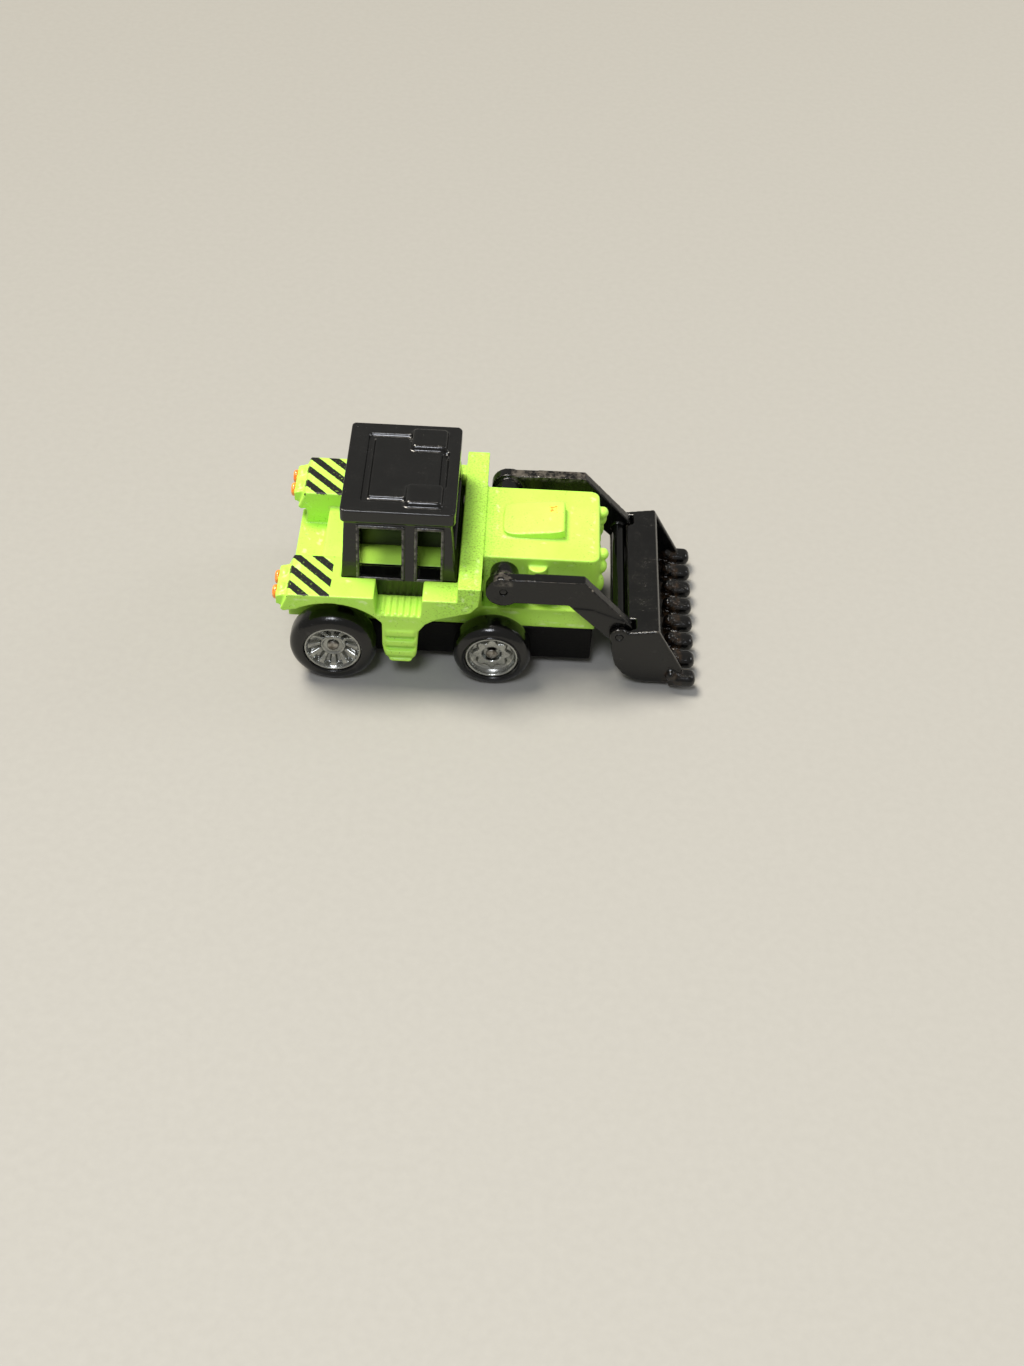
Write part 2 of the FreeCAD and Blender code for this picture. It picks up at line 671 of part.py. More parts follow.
nodes = {
    "body_casting": bodyCasting(),
    "base_plate": basePlate(),
    "rear_rivet": rivet("rearRivet", rivets["rear"]),
    "front_rivet": rivet("frontRivet", rivets["front"]),
    "cab_moulding": cabMoulding(),
    "rear_axle": axle("rearAxle", "rear"),
    "front_axle": axle("frontAxle", "front"),
    "arm_pivot_pin": pin("armPin", "armPivotX", "armPivotZ", "armInner + armThick - 0.1"),
    "arm_cross_tube": crossTube(),
    "bucket_pivot_pin": pin("bucketPin", "bucketPivotX", "bucketPivotZ", "bucketHalf"),
    "bucket": bucket(),
    "loader_arm_left": loaderArm(),
}
nodes["loader_arm_right"] = mirrored("armRight", nodes["loader_arm_left"])
for end in axles:
    for side, sign in (("left", ""), ("right", "-")):
        nodes[f"tyre_{end}_{side}"] = tyre(f"tyre{end}{side}", end, sign)
        nodes[f"hub_{end}_{side}"] = hub(f"hub{end}{side}", end, sign)

doc.recompute()

for item in doc.Objects:
    if "Invalid" in item.State or "Error" in item.State:
        raise RuntimeError(f"{item.Name} failed: {item.State}")
os.makedirs("parts", exist_ok=True)
for name, item in nodes.items():
    item.Label = name
    shape = item.Shape
    if shape.isNull() or not shape.isValid() or not shape.Solids:
        raise RuntimeError(f"{name} has no sound solid")
    shape.exportStep(f"parts/{name}.step")
    bounds = shape.BoundBox
    print(f"{name}: {len(shape.Solids)} solid, {shape.Volume:.1f} mm3, x {bounds.XMin:.2f} {bounds.XMax:.2f}")
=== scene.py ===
import math

import bmesh
import bpy
from mathutils import Matrix, Vector


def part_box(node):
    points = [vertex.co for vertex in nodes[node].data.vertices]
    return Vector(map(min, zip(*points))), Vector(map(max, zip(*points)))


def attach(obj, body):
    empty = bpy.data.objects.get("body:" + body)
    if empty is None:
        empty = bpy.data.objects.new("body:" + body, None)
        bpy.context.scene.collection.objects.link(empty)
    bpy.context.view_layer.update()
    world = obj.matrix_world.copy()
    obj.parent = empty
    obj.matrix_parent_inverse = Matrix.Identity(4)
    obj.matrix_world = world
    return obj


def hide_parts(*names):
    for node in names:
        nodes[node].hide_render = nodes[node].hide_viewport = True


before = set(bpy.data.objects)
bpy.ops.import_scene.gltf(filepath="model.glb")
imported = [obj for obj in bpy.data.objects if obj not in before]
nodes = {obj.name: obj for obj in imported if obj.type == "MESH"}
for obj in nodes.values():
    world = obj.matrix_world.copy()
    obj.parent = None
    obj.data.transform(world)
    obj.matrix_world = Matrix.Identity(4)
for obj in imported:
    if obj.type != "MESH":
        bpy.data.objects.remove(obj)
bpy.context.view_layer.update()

# A pocket-size die-cast front loader. The shapes below are worked in millimetres, in the frame's own
# axes (+X forward, +Y the driver's left, +Z up), and turned into metres when a piece is made.
mm = 0.001
sides = {"left": 1, "right": -1}


def boxOf(node):  # a node's lowest and highest corner, in millimetres
    low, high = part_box(node)
    return low / mm, high / mm


viewSettings = {
    "place": (3.68, -234.31, 223.0),  # mm
    "pitch": 45.68,  # degrees below the horizon
    "yaw": 0.22,
    "roll": 2.96,
    "lens": 47.46,
    "film": 36.0,  # long side, mm
}


def placeCamera():
    data = bpy.data.cameras.new("viewCamera")
    data.lens = viewSettings["lens"]
    data.sensor_width = viewSettings["film"]
    pitch, yaw, roll = (math.radians(viewSettings[name]) for name in ("pitch", "yaw", "roll"))
    ahead = Vector((math.sin(yaw) * math.cos(pitch), math.cos(yaw) * math.cos(pitch), -math.sin(pitch)))
    level = Vector((math.cos(yaw), -math.sin(yaw), 0))
    upright = level.cross(ahead)
    right = level * math.cos(roll) + upright * math.sin(roll)
    up = upright * math.cos(roll) - level * math.sin(roll)
    camera = bpy.data.objects.new("viewCamera", data)
    turned = Matrix((right, up, -ahead)).transposed().to_4x4()
    camera.matrix_world = Matrix.Translation(Vector(viewSettings["place"]) * mm) @ turned
    bpy.context.scene.collection.objects.link(camera)
    bpy.context.scene.camera = camera


studio = {
    "key": {"place": (-190, 110, 500), "spread": 24, "power": 4.5, "colour": "#FFF7E8"},  # degrees, W/m2
    "fill": {"place": (-80, -280, 460), "size": 150, "power": 1.25, "colour": "#F4F7FF"},
    "rim": {"place": (420, 160, 300), "size": 160, "power": 0.35, "colour": "#FFFFFF"},
    "aim": (0, 0, 12),
    "sky": "#D2D0CA",
    "skyStrength": 0.5,
    "floor": "#9C9B97",
    "floorTooth": "#8E8D89",
    "floorHalf": 9000,  # mm
}


def linear(hexColour):  # an sRGB hex colour as linear light, with full alpha
    channels = [int(hexColour[start : start + 2], 16) / 255 for start in (1, 3, 5)]
    return [c / 12.92 if c <= 0.04045 else ((c + 0.055) / 1.055) ** 2.4 for c in channels] + [1.0]


def aimLight(name, kind):  # a light of the studio, turned to its aim
    values = studio[name]
    data = bpy.data.lights.new(name + "Light", kind)
    data.energy = values["power"]
    data.color = linear(values["colour"])[:3]
    light = bpy.data.objects.new(name + "Light", data)
    light.location = Vector(values["place"]) * mm
    toward = Vector(studio["aim"]) * mm - light.location
    light.rotation_euler = toward.to_track_quat("-Z", "Y").to_euler()
    bpy.context.scene.collection.objects.link(light)
    return data


def placeLights():
    aimLight("key", "SUN").angle = math.radians(studio["key"]["spread"])
    for name in ("fill", "rim"):
        data = aimLight(name, "AREA")
        data.shape = "DISK"
        data.size = studio[name]["size"] * mm
    world = bpy.data.worlds.new("studioSky")
    world.use_nodes = True
    background = world.node_tree.nodes["Background"]
    background.inputs["Color"].default_value = linear(studio["sky"])
    background.inputs["Strength"].default_value = studio["skyStrength"]
    bpy.context.scene.world = world
    bpy.context.scene.view_settings.view_transform = "Standard"


def addNode(tree, kind, inputs=None, **settings):  # a shader node with its settings, values and links
    node = tree.nodes.new("ShaderNode" + kind)
    for name, value in settings.items():
        setattr(node, name, value)
    for name, value in (inputs or {}).items():
        if isinstance(value, bpy.types.NodeSocket):
            tree.links.new(value, node.inputs[name])
        else:
            node.inputs[name].default_value = value
    return node


def startMaterial(name, **values):  # the material, its node tree, its shader and its place in millimetres
    material = bpy.data.materials.new(name)
    material.use_nodes = True
    tree = material.node_tree
    tree.nodes.clear()
    shader = addNode(tree, "BsdfPrincipled", {key.replace("_", " "): value for key, value in values.items()})
    addNode(tree, "OutputMaterial", {"Surface": shader.outputs[0]})
    place = addNode(tree, "TexCoord").outputs["Object"]
    place = addNode(tree, "VectorMath", {0: place, "Scale": 1 / mm}, operation="SCALE").outputs[0]
    return material, tree, shader, place


def mottle(tree, place, size, low, high, detail=3.0, rough=0.55):  # cloudy patches of a size in mm, 0 to 1
    cloud = {"Vector": place, "Scale": 1 / size, "Detail": detail, "Roughness": rough}
    noise = addNode(tree, "TexNoise", cloud)
    spread = {"Value": noise.outputs[0], "From Min": low, "From Max": high}
    return addNode(tree, "MapRange", spread).outputs[0]


def convexEdges(tree, low, high):  # 0 on flats and in corners, 1 on outer edges; it drives the edge colours, some of them painted highlight, and, turned over, the painted shade in hollows
    point = addNode(tree, "NewGeometry").outputs["Pointiness"]
    return addNode(tree, "MapRange", {"Value": point, "From Min": low, "From Max": high}).outputs[0]


def whereAll(tree, *masks):  # 1 only where every mask is 1
    result = masks[0]
    for mask in masks[1:]:
        result = addNode(tree, "Math", {0: result, 1: mask}, operation="MULTIPLY").outputs[0]
    return result


def tint(tree, base, layers):  # colours laid over the base one by one, each through its mask
    for mask, colour in layers:
        colour = linear(colour) if isinstance(colour, str) else colour
        base = linear(base) if isinstance(base, str) else base
        base = addNode(tree, "Mix", {0: mask, 6: base, 7: colour}, data_type="RGBA").outputs[2]
    return base


def nearBox(tree, place, low, high, soft):  # 1 inside a box given in mm, fading to 0 over the soft width
    centre = [(a + b) / 2 for a, b in zip(low, high)]
    half = [(b - a) / 2 for a, b in zip(low, high)]
    away = addNode(tree, "VectorMath", {0: place, 1: centre}, operation="SUBTRACT").outputs[0]
    away = addNode(tree, "VectorMath", {0: away}, operation="ABSOLUTE").outputs[0]
    away = addNode(tree, "VectorMath", {0: away, 1: half}, operation="SUBTRACT").outputs[0]
    away = addNode(tree, "VectorMath", {0: away, 1: (0, 0, 0)}, operation="MAXIMUM").outputs[0]
    away = addNode(tree, "VectorMath", {0: away}, operation="LENGTH").outputs["Value"]
    fade = {"Value": away, "From Min": 0.0, "From Max": soft, "To Min": 1.0, "To Max": 0.0}
    return addNode(tree, "MapRange", fade).outputs[0]


def opposite(tree, mask):  # 0 where the mask is 1
    return addNode(tree, "Math", {0: 1.0, 1: mask}, operation="SUBTRACT").outputs[0]


def lessen(tree, height, groove):  # a height with grooves taken out of it
    return addNode(tree, "Math", {0: height, 1: groove}, operation="SUBTRACT").outputs[0]


def relief(tree, shader, height, depth, strength=1.0):  # bump of a depth in mm on the shader
    bump = addNode(tree, "Bump", {"Height": height, "Strength": strength, "Distance": depth * mm})
    tree.links.new(bump.outputs[0], shader.inputs["Normal"])


def varied(tree, shader, mask, low, high):  # roughness between two values, by a mask
    spread = addNode(tree, "MapRange", {"Value": mask, "To Min": low, "To Max": high})
    tree.links.new(spread.outputs[0], shader.inputs["Roughness"])


enamelFinish = {
    "paint": "#AEE450",
    "sunned": "#B9EA5C",
    "thin": "#D3F39A",
    # painted shade: a darker green laid in the hollows
    "hollowShade": "#5F8427",
    "speck": "#4C6A1E",
    "ink": "#050604",
    "primer": "#E8952E",
    "stripePitch": 3.7,  # along X, mm
    "stripeWide": 1.9,
    "stripeShake": 0.16,
    "stripeShift": {"left": -14.85, "right": -41.2},
    "stripeLow": (-33.6, 8.1, 19.2),
    "stripeHigh": (-26.35, 18.0, 20.5),
    "chipAt": (10.2, 1.7, 24.2),
    "chipHalf": (0.5, 0.7, 1),
    "cowl": ((-6, -18, 19), (0, 18, 24)),  # where handling grime gathers
}


def stripeMask(tree, place, values):  # slanted stripes printed on the fenders' rear corners, a little uneven
    fold = addNode(tree, "VectorMath", {0: place}, operation="ABSOLUTE").outputs[0]
    parts = addNode(tree, "SeparateXYZ", {0: place})
    folded = addNode(tree, "SeparateXYZ", {0: fold})
    wander = addNode(tree, "TexNoise", {"Vector": place, "Scale": 2.2, "Detail": 3.0}).outputs[0]
    unevenness = {"Value": wander, "To Min": -values["stripeShake"], "To Max": values["stripeShake"]}
    shake = addNode(tree, "MapRange", unevenness).outputs[0]
    mirrored = {0: parts.outputs[0], 1: folded.outputs[1], 2: parts.outputs[2]}
    across = addNode(tree, "CombineXYZ", mirrored).outputs[0]
    across = addNode(tree, "VectorMath", {0: across, 1: shake}, operation="ADD").outputs[0]
    patch = nearBox(tree, across, values["stripeLow"], values["stripeHigh"], 0.06)
    onLeft = addNode(tree, "Math", {0: parts.outputs[1], 1: 0.0}, operation="GREATER_THAN").outputs[0]
    shift = values["stripeShift"]
    start = {"Value": onLeft, "To Min": shift["right"], "To Max": shift["left"]}
    start = addNode(tree, "MapRange", start).outputs[0]
    line = addNode(tree, "Math", {0: parts.outputs[0], 1: parts.outputs[1]}, operation="ADD").outputs[0]
    line = addNode(tree, "Math", {0: line, 1: start}, operation="SUBTRACT").outputs[0]
    line = addNode(tree, "Math", {0: line, 1: shake}, operation="ADD").outputs[0]
    line = addNode(tree, "Math", {0: line, 1: values["stripePitch"] / 2}, operation="PINGPONG").outputs[0]
    half = values["stripeWide"] / 2
    inked = {"Value": line, "From Min": half - 0.05, "From Max": half + 0.05, "To Min": 1.0, "To Max": 0.0}
    inked = addNode(tree, "MapRange", inked).outputs[0]
    kept = opposite(tree, mottle(tree, place, 0.35, 0.66, 0.74))
    return whereAll(tree, inked, patch, kept)


def chipMask(tree, place, values):  # a small ragged chip down to the primer
    (x, y, z), (halfX, halfY, halfZ) = values["chipAt"], values["chipHalf"]
    chip = nearBox(tree, place, (x - halfX, y - halfY, z - halfZ), (x + halfX, y + halfY, z + halfZ), 0.9)
    chip = whereAll(tree, chip, mottle(tree, place, 0.7, 0.2, 0.9))
    return addNode(tree, "MapRange", {"Value": chip, "From Min": 0.42, "From Max": 0.5}).outputs[0]


def sprayedEnamel():  # sprayed lime enamel over zinc: a skin with slight orange peel, specked with grime, darker green in its hollows as painted shade
    values = enamelFinish
    material, tree, shader, place = startMaterial("sprayedEnamel", IOR=1.5, Specular_IOR_Level=0.4)
    cloud = mottle(tree, place, 9.0, 0.35, 0.7)
    grain = mottle(tree, place, 0.45, 0.3, 0.7, 4.0)  # orange peel is finer on the real one; drawn to show
    fine = mottle(tree, place, 0.3, 0.6, 0.68, 5.0, 0.7)
    specks = whereAll(tree, fine, mottle(tree, place, 4.0, 0.4, 0.6))
    soiled = nearBox(tree, place, *values["cowl"], 4.0)
    cowlSpecks = whereAll(tree, mottle(tree, place, 0.38, 0.5, 0.64, 5.0, 0.75), soiled, 0.65)
    # painted shade: the hollows are darkened to a deeper green
    hollow = opposite(tree, convexEdges(tree, 0.38, 0.46))
    rubbed = whereAll(tree, convexEdges(tree, 0.57, 0.66), mottle(tree, place, 1.2, 0.4, 0.6), 0.7)
    chip = chipMask(tree, place, values)
    layers = [
        (cloud, values["sunned"]),
        (whereAll(tree, hollow, mottle(tree, place, 2.5, 0.3, 0.65)), values["hollowShade"]),
        (rubbed, values["thin"]),
        (specks, values["speck"]),
        (cowlSpecks, values["speck"]),
        (stripeMask(tree, place, values), values["ink"]),
        (chip, values["primer"]),
    ]
    tree.links.new(tint(tree, values["paint"], layers), shader.inputs["Base Color"])
    varied(tree, shader, grain, 0.3, 0.44)
    relief(tree, shader, lessen(tree, grain, chip), 0.03, 0.5)
    return material


# what each black moulding shows: colours of the base, its edges (worn, and on the cab, arms, bucket and tyres
# partly a painted highlight) and its scuffs, the roughness range, the Pointiness range of the edge colour,
# the grain's size and depth in mm, the specular level and any marks of its own
blackFinishes = {
    "glossMouldedStyrene": {  # the cab: a polished mould's gloss, its corners greyed, partly rubbing and partly a painted highlight along the roof's edges
        "base": "#060606",
        "wornAndSheen": "#6E6A62",
        "scuff": "#262522",
        "roughness": (0.16, 0.3),
        "edgeRange": (0.545, 0.63),
        "grain": 0.5,
        "depth": 0.015,
        "shine": 0.6,
    },
    "scuffedMouldedNylon": {  # arms and bucket: gloss with scratches, pale at the handled edges, partly wear and partly a painted highlight
        "base": "#060606",
        "wornAndSheen": "#8F877B",
        "scuff": "#4A4641",
        "roughness": (0.14, 0.34),
        "edgeRange": (0.535, 0.61),
        "grain": 0.4,
        "depth": 0.025,
        "shine": 0.45,
        "marks": (  # from, to, colour
            ((30.6, -18, 1.5), (33.4, 18, 4), "#33261A"),  # brown dust caught round the teeth
            ((3.0, 12, 21.6), (15.5, 18, 23.0), "#5C5750"),  # the left arm's top edge, rubbed pale and lightened as a painted highlight
            ((1.0, -18, 21.0), (3.5, -12, 23.0), "#5C5750"),  # the boss of the right arm
        ),
    },
    "glossMouldedNylon": {  # cross tube and pin ends: the smoothest black, hardly worn
        "base": "#050505",
        "wornAndSheen": "#1A1917",
        "scuff": "#24231F",
        "roughness": (0.1, 0.22),
        "edgeRange": (0.7, 0.9),
        "grain": 0.6,
        "depth": 0.01,
        "shine": 0.45,
    },
    "sparkTexturedPolypropylene": {  # the chassis pan: a spark-eroded mould's fine matt grain
        "base": "#060606",
        "wornAndSheen": "#3C3B38",
        "scuff": "#1E1D1B",
        "roughness": (0.4, 0.55),
        "edgeRange": (0.58, 0.68),
        "grain": 0.35,
        "depth": 0.03,
        "shine": 0.12,
    },
    "mouldedVinyl": {  # the tyres: soft and shiny, with a bright line round the shoulder, a painted highlight and partly scuffing
        "base": "#050505",
        "wornAndSheen": "#2E2D2B",
        "scuff": "#1C1B19",
        "roughness": (0.16, 0.3),
        "edgeRange": (0.56, 0.7),
        "grain": 0.6,
        "depth": 0.015,
        "shine": 0.5,
    },
}
scuffDrawn = (0.25, 1.6, 0.5)  # hairlines are long along X


def mouldedBlack(name):  # a black moulding: near-black gloss, greyed along its edges by wear and partly as a painted highlight, hairline scuffs
    values = blackFinishes[name]
    material, tree, shader, place = startMaterial(name, IOR=1.5, Specular_IOR_Level=values["shine"])
    cloud = mottle(tree, place, 4.0, 0.35, 0.7)
    grain = mottle(tree, place, values["grain"], 0.3, 0.7, 4.0)
    drawn = addNode(tree, "VectorMath", {0: place, 1: scuffDrawn}, operation="MULTIPLY").outputs[0]
    hair = {"Vector": drawn, "Scale": 1.8, "Detail": 2.0, "Distortion": 0.6}
    hair = addNode(tree, "TexNoise", hair).outputs[0]
    hair = addNode(tree, "Math", {0: hair, 1: 0.5}, operation="SUBTRACT").outputs[0]
    hair = addNode(tree, "Math", {0: hair}, operation="ABSOLUTE").outputs[0]
    hair = {"Value": hair, "From Min": 0.0, "From Max": 0.006, "To Min": 1.0, "To Max": 0.0}
    hair = whereAll(tree, addNode(tree, "MapRange", hair).outputs[0], mottle(tree, place, 3.0, 0.5, 0.64))
    # the edge colour: rubbing, and on the cab, arms, bucket and tyres partly a painted highlight
    rubbed = whereAll(tree, convexEdges(tree, *values["edgeRange"]), mottle(tree, place, 0.8, 0.38, 0.62))
    layers = [(whereAll(tree, hair, cloud), values["scuff"]), (rubbed, values["wornAndSheen"])]
    for low, high, shade in values.get("marks", ()):
        ragged = mottle(tree, place, 0.9, 0.4, 0.62)
        layers.insert(0, (whereAll(tree, nearBox(tree, place, low, high, 0.5), ragged, 0.8), shade))
    tree.links.new(tint(tree, values["base"], layers), shader.inputs["Base Color"])
    varied(tree, shader, whereAll(tree, grain, cloud), *values["roughness"])
    relief(tree, shader, lessen(tree, grain, hair), values["depth"], 0.6)
    return material


# the darkest colour is painted shade in the hub's slots
silverFinish = {"silver": "#B4B6B2", "shade": "#5A5850", "slotShade": "#2A2824"}


def hotFoilSilver():  # silver foil pressed onto a black hub: bright on its ridges, darkened in the slots as painted shade
    material, tree, shader, place = startMaterial("hotFoilSilver", Metallic=1.0)
    cloud = mottle(tree, place, 0.9, 0.3, 0.7)
    # painted shade: the slots are darkened
    hollow = opposite(tree, convexEdges(tree, 0.40, 0.5))
    layers = [(whereAll(tree, cloud, 0.4), silverFinish["shade"]), (hollow, silverFinish["slotShade"])]
    tree.links.new(tint(tree, silverFinish["silver"], layers), shader.inputs["Base Color"])
    varied(tree, shader, cloud, 0.18, 0.34)
    relief(tree, shader, mottle(tree, place, 0.3, 0.3, 0.7), 0.02, 0.4)
    return material


steelFinish = {"steel": "#A9A7A1", "tarnish": "#6B655C"}


def drawnSteel():  # cold-drawn steel wire: a soft metal sheen with dull tarnish patches
    material, tree, shader, place = startMaterial("drawnSteel", Metallic=1.0)
    cloud = mottle(tree, place, 0.7, 0.35, 0.65)
    colour = tint(tree, steelFinish["steel"], [(cloud, steelFinish["tarnish"])])
    tree.links.new(colour, shader.inputs["Base Color"])
    varied(tree, shader, cloud, 0.22, 0.42)
    relief(tree, shader, mottle(tree, place, 0.25, 0.3, 0.7), 0.015, 0.4)
    return material


amberFinish = {"amber": "#F0741B", "pale": "#F9A23C"}


def dabbedAmber():  # a dab of orange paint on each lamp: glossy, thicker and deeper in the middle
    coat = {"Coat_Weight": 0.5, "Coat_Roughness": 0.08}
    material, tree, shader, place = startMaterial("dabbedAmberPaint", IOR=1.5, **coat)
    cloud = mottle(tree, place, 0.8, 0.4, 0.65)
    colour = tint(tree, amberFinish["amber"], [(cloud, amberFinish["pale"])])
    tree.links.new(colour, shader.inputs["Base Color"])
    varied(tree, shader, cloud, 0.22, 0.35)
    relief(tree, shader, cloud, 0.05, 0.5)
    return material


def studioCard():  # matt card: plain, with a barely visible tooth
    material, tree, shader, place = startMaterial("mattCard", IOR=1.4)
    tooth = mottle(tree, place, 1.5, 0.3, 0.7)
    layers = [(whereAll(tree, tooth, 0.15), studio["floorTooth"])]
    tree.links.new(tint(tree, studio["floor"], layers), shader.inputs["Base Color"])
    varied(tree, shader, tooth, 0.75, 0.85)
    return material


enamel = sprayedEnamel()
cabBlack = mouldedBlack("glossMouldedStyrene")
loaderBlack = mouldedBlack("scuffedMouldedNylon")
tubeBlack = mouldedBlack("glossMouldedNylon")
chassisBlack = mouldedBlack("sparkTexturedPolypropylene")
tyreBlack = mouldedBlack("mouldedVinyl")
hubSilver = hotFoilSilver()
steel = drawnSteel()
amber = dabbedAmber()
print("materials made")


# the shaping tools work in millimetres
def addBlock(shape, low, high, rounding, steps=3):  # a block with rounded edges
    made = bmesh.ops.create_cube(shape, size=1.0)["verts"]
    for vert in made:
        vert.co = Vector([a + (b - a) * (c + 0.5) for a, b, c in zip(low, high, vert.co)])
    around = list({edge for vert in made for edge in vert.link_edges})
    bevel = {"offset": rounding, "segments": steps, "profile": 0.5, "clamp_overlap": True}
    bmesh.ops.bevel(shape, geom=around, affect="EDGES", **bevel)


def addSideBlock(shape, sign, spans, rounding):  # a block on one side, from its spans along x, |y| and z
    (x0, x1), beside, (z0, z1) = spans
    near, far = sorted(sign * y for y in beside)
    addBlock(shape, (x0, near, z0), (x1, far, z1), rounding)


def addBall(shape, centre, radii):  # a smooth lump
    move = Matrix.Translation(centre) @ Matrix.Diagonal((*radii, 1))
    bmesh.ops.create_uvsphere(shape, u_segments=28, v_segments=16, radius=1.0, matrix=move)


def addSlice(shape, outline, low, high):  # an XZ outline carried from one Y to another
    rings = [[shape.verts.new((x, y, z)) for x, z in outline] for y in (low, high)]
    shape.faces.new(rings[0])
    shape.faces.new(reversed(rings[1]))
    for index in range(len(outline)):
        after = (index + 1) % len(outline)
        shape.faces.new((rings[0][index], rings[0][after], rings[1][after], rings[1][index]))


def addTurned(shape, sectionAt, centre, along, closed=True, segments=96):
    # a turned shape: sectionAt(angle) gives (radius, distance along the axle) round the section
    along = Vector(along)
    first = Vector((0, 0, 1)) if abs(along.z) < 0.5 else Vector((1, 0, 0))
    second = along.cross(first)
    rows = []
    for step in range(segments):
        angle = 2 * math.pi * step / segments
        spoke = first * math.cos(angle) + second * math.sin(angle)
        rows.append([shape.verts.new(Vector(centre) + spoke * r + along * d) for r, d in sectionAt(angle)])
    count = len(rows[0])
    for step, row in enumerate(rows):
        after = rows[(step + 1) % segments]
        for index in range(count if closed else count - 1):
            other = (index + 1) % count
            shape.faces.new((row[index], row[other], after[other], after[index]))


def bend(centre, radius, start, end, steps=6):  # points round an arc, angles in degrees
    angles = [math.radians(start + (end - start) * step / steps) for step in range(steps + 1)]
    return [(centre[0] + radius * math.cos(a), centre[1] + radius * math.sin(a)) for a in angles]


def finishPiece(name, shape, body, material, slot, *replaced):  # the shape in metres, riding on its body
    bmesh.ops.remove_doubles(shape, verts=shape.verts, dist=0.001)
    bmesh.ops.recalc_face_normals(shape, faces=shape.faces)
    mesh = bpy.data.meshes.new(name)
    shape.to_mesh(mesh)
    shape.free()
    mesh.transform(Matrix.Scale(mm, 4))
    mesh.shade_smooth()
    mesh.materials.append(material)
    piece = bpy.data.objects.new(name, mesh)
    bpy.context.scene.collection.objects.link(piece)
    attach(piece, body)
    if replaced:
        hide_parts(*replaced)


def castShape(name, node, extras, values, *cuts):
    # the node's solid and the extras grown into one skin, its edges softened as paint or a mould does
    solid = bmesh.new()
    solid.from_mesh(nodes[node].data)
    bmesh.ops.remove_doubles(solid, verts=solid.verts, dist=1e-7)
    bmesh.ops.scale(solid, vec=(1 / mm,) * 3, verts=solid.verts)
    for at, facing in cuts:  # what lies beyond a cut is left for the extras to shape
        whole = solid.verts[:] + solid.edges[:] + solid.faces[:]
        cut = bmesh.ops.bisect_plane(solid, geom=whole, plane_co=at, plane_no=facing, clear_outer=True)
        rims = [item for item in cut["geom_cut"] if isinstance(item, bmesh.types.BMEdge)]
        bmesh.ops.holes_fill(solid, edges=rims)
    rough = bpy.data.meshes.new(name + "Rough")
    solid.to_mesh(rough)
    extras.from_mesh(rough)
    extras.to_mesh(rough)
    extras.free()
    solid.free()
    draft = bpy.data.objects.new(name + "Draft", rough)
    bpy.context.scene.collection.objects.link(draft)
    remesh = draft.modifiers.new("skin", "REMESH")
    remesh.mode = "VOXEL"
    remesh.voxel_size = values["voxel"]
    smooth = draft.modifiers.new("soften", "SMOOTH")
    smooth.factor = 0.5
    smooth.iterations = values["soften"]
    fewer = draft.modifiers.new("fewer", "DECIMATE")
    fewer.ratio = values["keep"]
    skin = bpy.data.meshes.new_from_object(draft.evaluated_get(bpy.context.evaluated_depsgraph_get()))
    bpy.data.objects.remove(draft)
    shape = bmesh.new()
    shape.from_mesh(skin)
    print(f"{name}: {len(skin.polygons)} faces")
    return shape


bodyCast = {
    "voxel": 0.19,
    "soften": 9,
    "keep": 0.45,
    "noseX": 18.4,  # the plain nose is cut here
    "podSteps": (  # the stacked headlamp bumps: x, |y|, z, half height
        (18.85, 5.4, 20.9, 0.95),
        (18.7, 6.2, 18.9, 1.3),
        (18.4, 7.1, 15.9, 1.9),
    ),
    "podReach": 0.95,
    "podHalf": 1.15,
    "backing": ((16.6, 18.3), (5.3, 8.3), (13.6, 21.2)),  # the block behind the bumps: x, |y|, z
    "backingRound": 0.5,
    "slats": 5,
    "slatX": (18.0, 18.65),
    "slatY": (0.5, 5.0),
    "slatZ": 12.2,  # the lowest one's lower edge
    "slatPitch": 1.5,
    "slatTall": 0.7,
    "slatRound": 0.2,
    "stub": ((-6.3, 11.0, 20.5), (-5.0, 14.9, 22.3)),  # the stub behind the cowl's left end
    "stubRound": 0.5,
    "lampAcross": (11.5, 15.1),
    "lampZ": 17.6,
    "lampInset": 1.6,
    "lampRadii": (1.2, 1.7, 1.7),
}


def makeBody():
    values = bodyCast
    shape = bmesh.new()
    rear = boxOf("body_casting")[0].x
    for sign in sides.values():
        for x, across, height, half in values["podSteps"]:
            addBall(shape, (x, sign * across, height), (values["podReach"], values["podHalf"], half))
        addSideBlock(shape, sign, values["backing"], values["backingRound"])
        for across in values["lampAcross"]:
            centre = (rear + values["lampInset"], sign * across, values["lampZ"])
            addBall(shape, centre, values["lampRadii"])
        for number in range(values["slats"]):
            height = values["slatZ"] + values["slatPitch"] * number
            spans = (values["slatX"], values["slatY"], (height, height + values["slatTall"]))
            addSideBlock(shape, sign, spans, values["slatRound"])
    addBlock(shape, *values["stub"], values["stubRound"])
    nose = ((values["noseX"], 0, 0), (1, 0, 0))
    shape = castShape("body", "body_casting", shape, values, nose)
    roundScoop(shape)
    finishPiece("enamelled_body", shape, "chassis", enamel, "green_enamel", "body_casting")


scoopShape = {
    "ends": (1.7, 13.0),
    "half": 4.2,
    "deck": 22.4,
    "crown": 0.12,
    "fall": 3,  # how steeply the crown drops towards its sides
    "corner": 5,  # 2 would make the plan an ellipse; more is squarer
    "margin": 0.6,
    "clear": 0.08,
}


